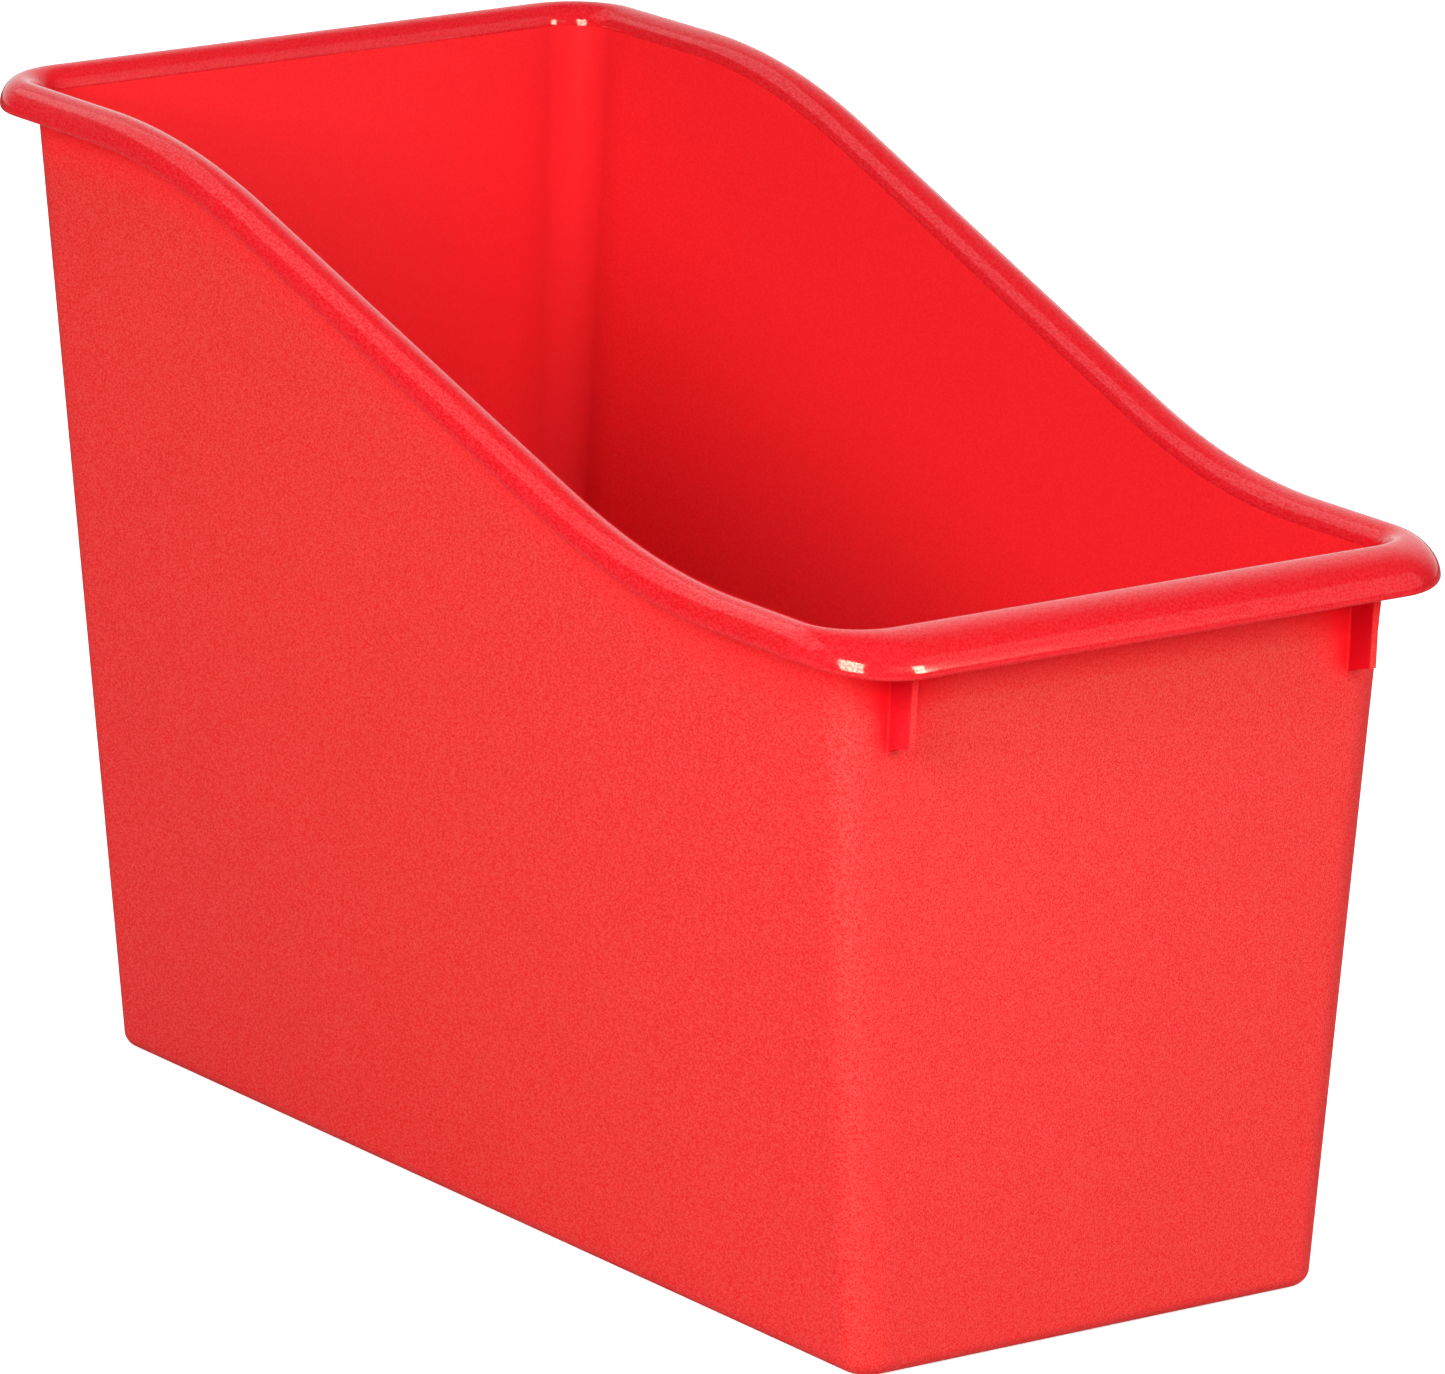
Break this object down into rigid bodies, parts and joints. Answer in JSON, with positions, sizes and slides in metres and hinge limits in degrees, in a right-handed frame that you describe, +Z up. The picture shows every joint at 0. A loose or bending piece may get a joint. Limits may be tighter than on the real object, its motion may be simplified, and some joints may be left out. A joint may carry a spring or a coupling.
{
  "type": "book bin",
  "caption": "Open-topped moulded plastic book bin with a tall back, a low front, a swept rim with a rolled lip, and stacking ribs under the lip.",
  "frame": {"origin": "middle of the base's plan, on the resting plane", "axes": "+Z up, -Y towards the low front, +Y towards the tall back, X across the bin"},
  "size_m": [0.1436, 0.286, 0.1905],
  "materials": {
    "bin_plastic": "red moulded polypropylene: fine spark-eroded texture outside, smooth and glossier lip and inside"
  },
  "bodies": {
    "root": {"bin": "bin_plastic"}
  },
  "joints": []
}
